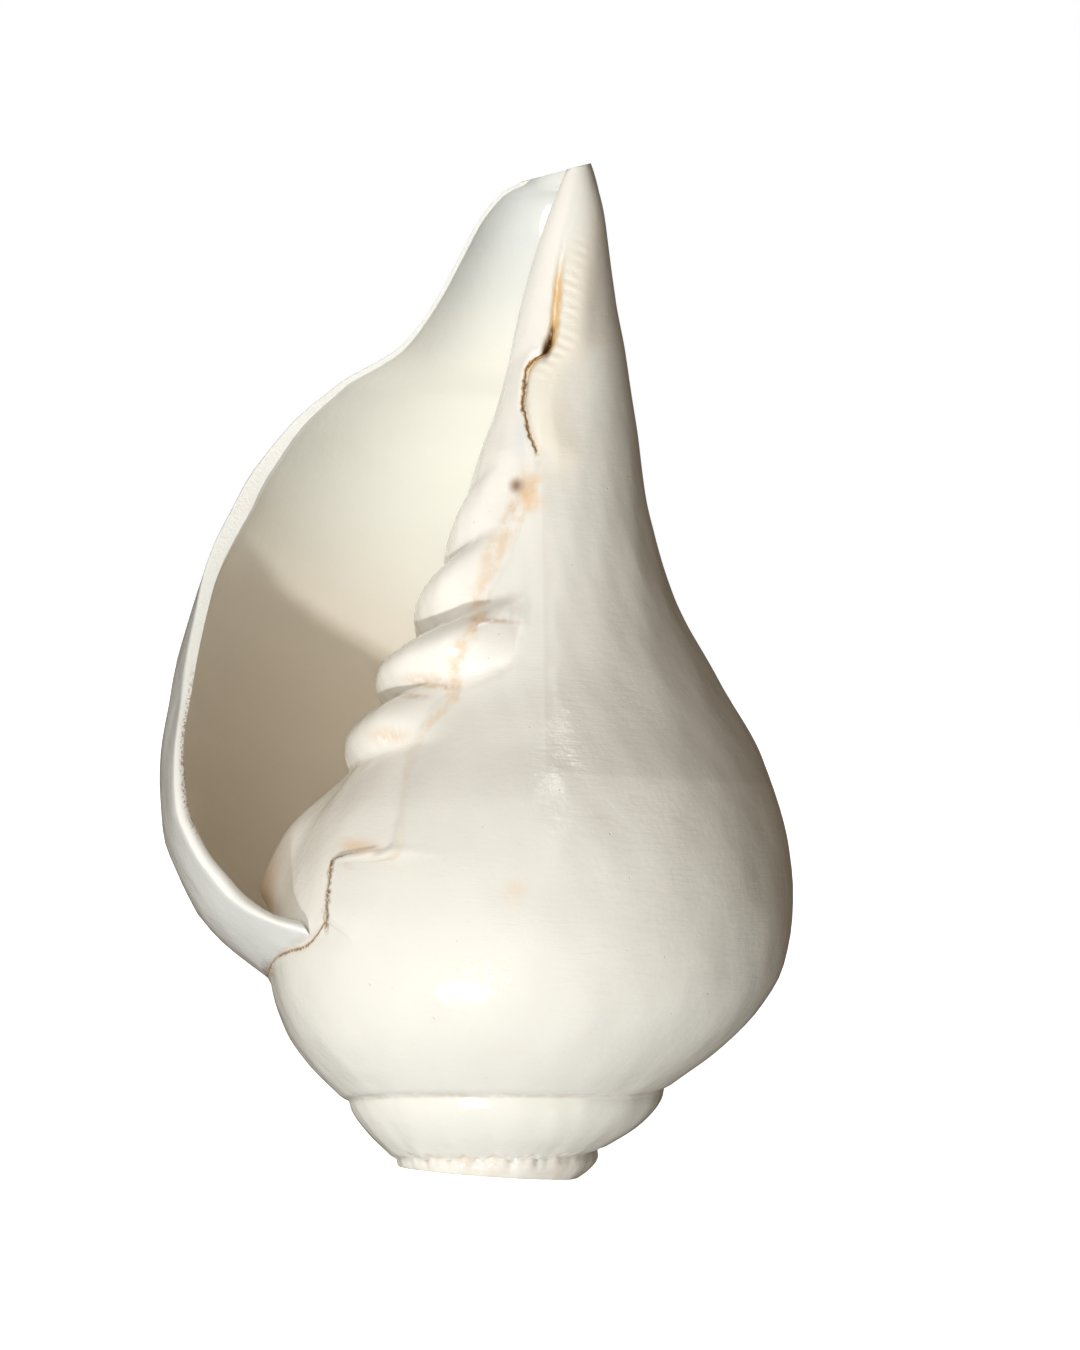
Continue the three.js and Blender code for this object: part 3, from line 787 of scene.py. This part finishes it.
def paint_stains(r):
    """Stain that wanders down the glaze, broad and orange above the plaits and a thin tan line
    below, the marks under the plaits, partly stain and partly painted shade, and the spot and
    grey-blue hollow at the chink's foot."""
    stain_x = r.curve_of(
        r.z, [38, 39.5, 45, 49.5, 55.5, 60, 63, 68.5, 71.5, 76, 80.5, 84.5, 88],
        [-19.0, -13.3, -13.0, -12.8, -10.7, -7.6, -7.8, -5.6, -5.4, -4.3, -2.7, -0.8, 0.0])
    width = r.curve_of(r.z, [40, 55, 60, 64, 72, 80, 86], [0.8, 1.0, 1.2, 1.4, 1.7, 2.3, 2.0])
    level = r.curve_of(r.z, [37, 39, 41, 52, 60, 66, 74, 80, 84, 87, 89],
                       [0.0, 0.5, 0.2, 0.35, 0.7, 0.75, 0.6, 0.7, 0.95, 0.6, 0.0])
    sway = r.times(r.plus(r.streaks, -0.5), 2.4)
    off_stain = r.math("ABSOLUTE", r.plus(r.x, r.times(stain_x, -1.0), sway))
    r.cover(STAIN_TAN, r.front, r.rise(r.math("DIVIDE", off_stain, width), 1.0, 0.15),
            r.rise(r.mottle, 0.3, 0.6), level)
    # tan and brown under the plaits: partly stain, partly painted shade on their lower sides
    for mark in PLAIT_STAIN_AND_SHADE_MARKS:
        r.cover(PLAIT_TAN_AND_SHADE, r.spot(*mark), r.rise(r.streaks, 0.3, 0.55), 0.8)
    for mark in PLAIT_DIRT_AND_SHADE_LINES:
        r.cover(PLAIT_BROWN_AND_SHADE, r.spot(*mark), r.rise(r.streaks, 0.25, 0.6), 0.6)
    r.cover(HOLLOW_BLUE, r.spot(-1.6, 92.0, 1.8, 5.0), 0.45)
    r.cover(SPOT_BROWN, r.spot(-1.9, 85.9, 1.4, 1.5), 0.95)
    r.cover(RUST, r.spot(0.0, 84.0, 2.4, 2.2), r.rise(r.streaks, 0.3, 0.6), 0.7)


def paint_chink(r):
    """The chink, amber in its upper part, with the dark crack below it, partly dirt and partly
    painted shade in the gap, and painted shade where it opens, and the broken ledge by the lip,
    with dirt in it and a warm upper edge."""
    kinked = r.plus(r.glaze, r.times(r.plus(r.noise(0.9, 3.0, 0.6), -0.5), 1.1))
    r.cover(AMBER, r.front, r.near(kinked, 0.35, 0.9), r.rise(r.z, 89.0, 91.0),
            r.rise(r.z, 116.0, 110.0), r.plus(0.3, r.times(r.rise(r.z, 99.0, 102.0), 0.6)))
    # dark brown along the chink's crack: partly dirt, partly painted shade in the gap
    r.cover(CHINK_CRACK_DIRT_AND_SHADE, r.front, r.near(kinked, 0.0, 0.34), r.rise(r.z, 89.5, 90.5),
            r.rise(r.z, 107.0, 105.5))
    # painted shade: a near-black spot where the chink opens
    r.cover(CHINK_HOLE_SHADE, r.spot(0.6, 103.3, 0.9, 2.2))
    r.cover(LEDGE_DIRT, r.front, r.near(kinked, -0.25, 0.48), r.rise(r.z, 28.5, 30.5),
            r.rise(r.z, 40.2, 38.6), r.rise(r.grit, 0.36, 0.52))
    r.cover(LEDGE_ORANGE, r.spot(-18.3, 40.0, 4.4, 1.5), r.rise(r.x, -21.5, -19.5), 0.65)


def paint_seams(r):
    """Dirt and painted shade in the seams, dirt in the lip's corner, the tan last band by the
    spire's cut, and the crack that runs on from the ledge to the lip's corner, with a tan band
    about it that is partly painted shade."""
    # seams: partly dirt, partly painted shade in their grooves
    r.cover(SEAM_DIRT_AND_SHADE, r.rise(r.seam, 0.5, 0.08), r.outer, r.off_lip,
            r.rise(r.mottle, 0.3, 0.65), 0.5)
    r.cover(CORNER_DIRT, r.spot(-28.6, 23.6, 1.6, 2.6), r.rise(r.grit, 0.42, 0.55), 0.9)
    r.cover(BAND_TAN, r.rise(r.z, 3.4, 1.6), r.rise(r.mottle, 0.35, 0.7),
            r.rise(r.x, -14.0, 2.0), 0.6)
    crack_z = r.curve_of(r.x, [-30.5, -29.0, -27.8, -25.9, -23.7, -22.7, -21.6],
                         [20.5, 21.9, 25.0, 26.3, 27.3, 28.4, 30.4])
    jag = r.times(r.plus(r.grit, -0.5), 0.8)
    off_crack = r.math("ABSOLUTE", r.plus(r.z, r.times(crack_z, -1.0), jag))
    reach = r.times(r.rise(r.y, 0.0, -2.0), r.rise(r.x, -31.0, -29.5), r.rise(r.x, -21.2, -21.7))
    # tan about the crack: partly stain, partly painted shade along a shadow edge by the lip's
    # corner
    r.cover(CORNER_TAN_AND_SHADE, r.rise(off_crack, 0.9, 0.1), reach, 0.4)
    r.cover(CORNER_CRACK, r.rise(off_crack, 0.3, 0.1), reach, r.rise(r.grit, 0.35, 0.5), 0.9)


def paint_inside(r):
    """The passage: warm beige, deeper towards the early turns and lower down, partly its own tint
    and partly painted shade, white on the column's glaze, brown behind the lip's corner, also
    partly painted shade, and bluish in the canal."""
    r.cover(INSIDE_WHITE, r.rise(r.inside, 0.02, 0.3))
    # painted shade: warmer and darker deeper in and below a slanting line, over the passage's own
    # beige
    slanted_z = r.plus(r.z, r.times(r.x, 0.5))
    r.cover(INSIDE_TINT_AND_SHADE, r.rise(r.inside, 0.1, 0.5), r.rise(slanted_z, 74.0, 48.0), 0.85)
    r.cover(INSIDE_GLAZE, r.rise(r.y, 1.0, -1.0), r.on_glaze, r.rise(r.inside, 0.0, 0.03),
            r.rise(r.inside, 0.65, 0.3), 0.9)
    # brown behind the lip's corner: partly the wall's tan, partly painted shade
    r.cover(INSIDE_BROWN_AND_SHADE, r.spot(-29.6, 33.0, 6.5, 7.5), r.rise(r.inside, 0.1, 0.3), 0.9)
    r.cover(CANAL_BLUE, r.rise(r.inside, 0.02, 0.1), r.rise(r.z, 98.0, 118.0), 0.8)


def paint_lip(r):
    """Bluish white outside by the lip; the lip's edge chalky where it is ground, porcelain
    where it is rounded, with specks between; creamy cuts."""
    r.cover(COOL_WHITE, r.rise(r.azimuth, 150.0, 190.0), r.outer,
            r.plus(0.5, r.times(r.rise(r.z, 28.0, 60.0), 0.4)))
    r.cover(LIP_WHITE, r.lip, 0.9)
    r.cover(CHALK_GREY, r.chalk, r.rise(r.grit, 0.35, 0.7), 0.4)
    r.cover(SPECK_BROWN, r.rise(r.inside, -1.35, -1.75), r.rise(r.grit, 0.5, 0.56),
            r.rise(r.z, 38.0, 42.0), r.rise(r.z, 62.0, 56.0), 0.8)
    r.cover(CUT_CREAM, r.cut, 0.8)


def raise_relief(r):
    """Fine relief: polish marks that run round the shell, hand-ground facets, ripples, pits,
    small ribs on the creamy ridge, and a chalky grain on the ground faces."""
    fine_marks = r.noise(5.0, 3.0, 0.7, stretch=(0.1, 0.1, 1.0))
    cells = r.make("ShaderNodeTexVoronoi", feature="SMOOTH_F1")
    cells.inputs["Scale"].default_value = 0.2
    cells.inputs["Smoothness"].default_value = 0.6
    r.link(r.vector("MULTIPLY", r.place, (1.0, 1.0, 0.6)), cells.inputs["Vector"])
    facets = cells.outputs["Distance"]
    ripples = r.noise(0.45, 3.0, 0.6)
    pits = r.rise(r.noise(1.3, 2.0, 0.4), 0.76, 0.82)
    scratchy = r.times(r.outside, r.rise(r.cloud, 0.3, 0.65))
    rib_wave = r.math("SINE", r.times(r.plus(r.z, r.times(r.x, 0.35)), 4.6))
    ribs = r.times(r.front, r.rise(r.glaze, 0.3, 1.2), r.rise(r.glaze, 4.2, 1.5),
                   r.rise(r.z, 98.0, 102.0), r.rise(r.mottle, 0.3, 0.6),
                   r.rise(r.z, 121.0, 114.0))
    r.link(r.bump(r.plus(
        r.times(rib_wave, ribs, 0.045),
        r.times(r.turn_marks, scratchy, 0.05), r.times(fine_marks, scratchy, 0.012),
        r.times(facets, r.outside, 0.10), r.times(ripples, 0.07),
        r.times(pits, r.outside, -0.08),
        r.times(r.chalk, r.grit, 0.10), r.times(r.cut, r.grit, 0.05))), r.skin["Normal"])
    r.link(r.bump(r.plus(
        r.times(ripples, 0.10), r.times(facets, 0.12),
        r.times(r.noise(1.2, 3.0, 0.65), 0.03), r.times(r.turn_marks, 0.04))),
        r.skin["Coat Normal"])


def set_gloss(r):
    """Soft sheen under a clear polish, which is missing on the ground faces and thinner
    inside."""
    r.link(r.plus(0.32, r.times(r.rise(r.turn_marks, 0.4, 0.75), r.outside, 0.1),
                  r.times(r.chalk, 0.45), r.times(r.cut, 0.3),
                  r.times(r.rise(r.inside, 0.02, 0.4), 0.12)), r.skin["Roughness"])
    ground = r.math("MAXIMUM", r.chalk, r.cut)
    deep = r.times(r.rise(r.inside, 0.02, 0.35), 0.6)
    r.link(r.times(0.9, r.less(ground), r.less(deep)), r.skin["Coat Weight"])
    r.skin["Coat Roughness"].default_value = 0.02
    r.skin["Coat IOR"].default_value = 1.5
    r.skin["IOR"].default_value = 1.53
    r.skin["Specular IOR Level"].default_value = 0.04


def shell_finish():
    """Polished shell: ivory outside, porcelain white on the glaze, warm beige inside with painted
    shade deeper in, chalky on the ground lip, with stains and painted shade along the chink and in
    the seams, and painted shade under the plaits and beyond a facet's edge."""
    r = ShellRecipe()
    for step in (paint_growth, paint_right_side, paint_stains, paint_chink, paint_seams,
                 paint_inside, paint_lip):
        step(r)
    r.link(r.colour, r.skin["Base Color"])
    raise_relief(r)
    set_gloss(r)
    return r.material


mesh.materials.clear()
mesh.materials.append(shell_finish())

# ---- floor, light and camera, in metres ----
FLOOR_HALF = 40
DISTANCE = 1.1          # from the camera to the shell's axis
WIDTH_SEEN = 0.1693     # longer side of what the camera sees at that distance
SENSOR = 36
AIM = (0.00268, 0.0626)  # place on the shell's axis plane that the camera faces
ROLL = math.atan(0.07)  # the shell leans to the right in the view by this

floor_mesh = bpy.data.meshes.new("floor")
floor_mesh.from_pydata([(-FLOOR_HALF, -FLOOR_HALF, 0), (FLOOR_HALF, -FLOOR_HALF, 0),
                        (FLOOR_HALF, FLOOR_HALF, 0), (-FLOOR_HALF, FLOOR_HALF, 0)],
                       [], [(0, 1, 2, 3)])
floor = bpy.data.objects.new("floor", floor_mesh)
bpy.context.collection.objects.link(floor)
pale = bpy.data.materials.new("floor")
pale.use_nodes = True
paper = pale.node_tree.nodes["Principled BSDF"].inputs
paper["Base Color"].default_value = (0.86, 0.86, 0.86, 1)
paper["Roughness"].default_value = 0.9
paper["Specular IOR Level"].default_value = 0.1
paper["Emission Color"].default_value = (1, 1, 1, 1)
paper["Emission Strength"].default_value = 1.0
floor_mesh.materials.append(pale)
# the low key shines up past the floor's front edge, so the floor neither stops it nor glows
floor.visible_shadow = False
floor.visible_diffuse = False
floor.visible_glossy = False

scene = bpy.context.scene
world = bpy.data.worlds.new("studio")
scene.world = world
world.use_nodes = True
sky = world.node_tree
# a white backdrop behind the shell, with a dim warm room around it
to_camera = sky.nodes.new("ShaderNodeLightPath").outputs["Is Camera Ray"]
blend = sky.nodes.new("ShaderNodeMix")
blend.data_type = "RGBA"
sky.links.new(to_camera, blend.inputs["Factor"])
blend.inputs[6].default_value = (0.12, 0.09, 0.06, 1)
blend.inputs[7].default_value = (1, 1, 1, 1)
sky.links.new(blend.outputs[2], sky.nodes["Background"].inputs["Color"])


def lamp(name, azimuth, elevation, strength, colour, spread):
    """Distant lamp that shines from an azimuth and elevation, as wide as its spread."""
    light = bpy.data.lights.new(name, "SUN")
    light.energy = strength
    light.color = colour
    light.angle = math.radians(spread)
    holder = bpy.data.objects.new(name, light)
    around, up = math.radians(azimuth), math.radians(elevation)
    holder.rotation_euler = (math.pi / 2 - up, 0, around + math.pi / 2)
    bpy.context.collection.objects.link(holder)
    return holder


soft = [lamp("key", -110, -32, 1.45, (1.0, 1.0, 0.97), 3),
        lamp("low_front", -92, -50, 1.05, (0.95, 0.99, 1.0), 70),
        lamp("front", -106, 10, 1.3, (1.0, 0.95, 0.86), 46),
        lamp("upper_left", -138, 42, 0.48, (0.97, 0.98, 1.0), 40)]
for holder in soft:
    holder.visible_glossy = False
# the back's own light, which the front doesn't see
for name, azimuth, strength in (("back", 88, 1.5), ("back_left", 150, 0.5)):
    lamp(name, azimuth, 14, strength, (1.0, 0.97, 0.92), 20).visible_glossy = False
# windows that only the gloss sees
gloss = [lamp("glint", -108, -34, 2.4, (1, 1, 1), 13),
         lamp("glint_high", -84, 62, 0.12, (1, 1, 1), 5),
         lamp("glint_front", -84, 40, 0.10, (1, 1, 1), 4)]
for holder in gloss:
    holder.visible_diffuse = False

camera = bpy.data.cameras.new("camera")
camera_object = bpy.data.objects.new("camera", camera)
bpy.context.collection.objects.link(camera_object)
camera.sensor_width = SENSOR
camera.lens = SENSOR * DISTANCE / WIDTH_SEEN
camera.clip_end = 200
camera_object.location = (AIM[0], -DISTANCE, AIM[1])
camera_object.rotation_euler = (math.pi / 2, -ROLL, 0)
scene.camera = camera_object
scene.view_settings.view_transform = "Standard"
